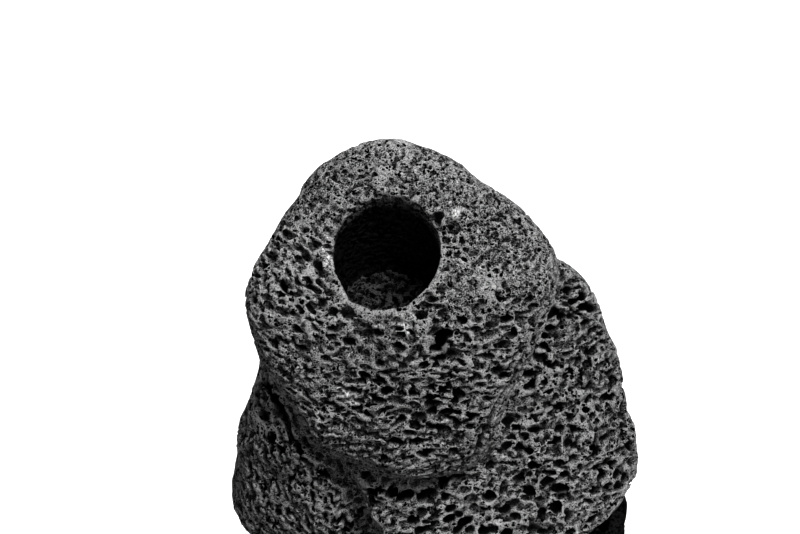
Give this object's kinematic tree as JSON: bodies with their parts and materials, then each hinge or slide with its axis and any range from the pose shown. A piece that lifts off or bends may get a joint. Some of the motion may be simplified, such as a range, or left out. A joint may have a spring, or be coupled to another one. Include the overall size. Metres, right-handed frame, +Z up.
{
  "type": "lava rock candle holder",
  "caption": "Lump of dark vesicular lava rock with a leaning rounded head, a round socket drilled down into the head and a flat sawn base to stand on.",
  "frame": {"origin": "on the flat base, at the middle of the stone's box", "axes": "+Z up, -Y the front that the head leans towards, +X along the longest side"},
  "size_m": [0.1048, 0.0918, 0.0962],
  "materials": {
    "basalt": "rough, matt, dark grey and full of small bubbles"
  },
  "bodies": {
    "root": {"lava_rock": "basalt"}
  },
  "joints": []
}
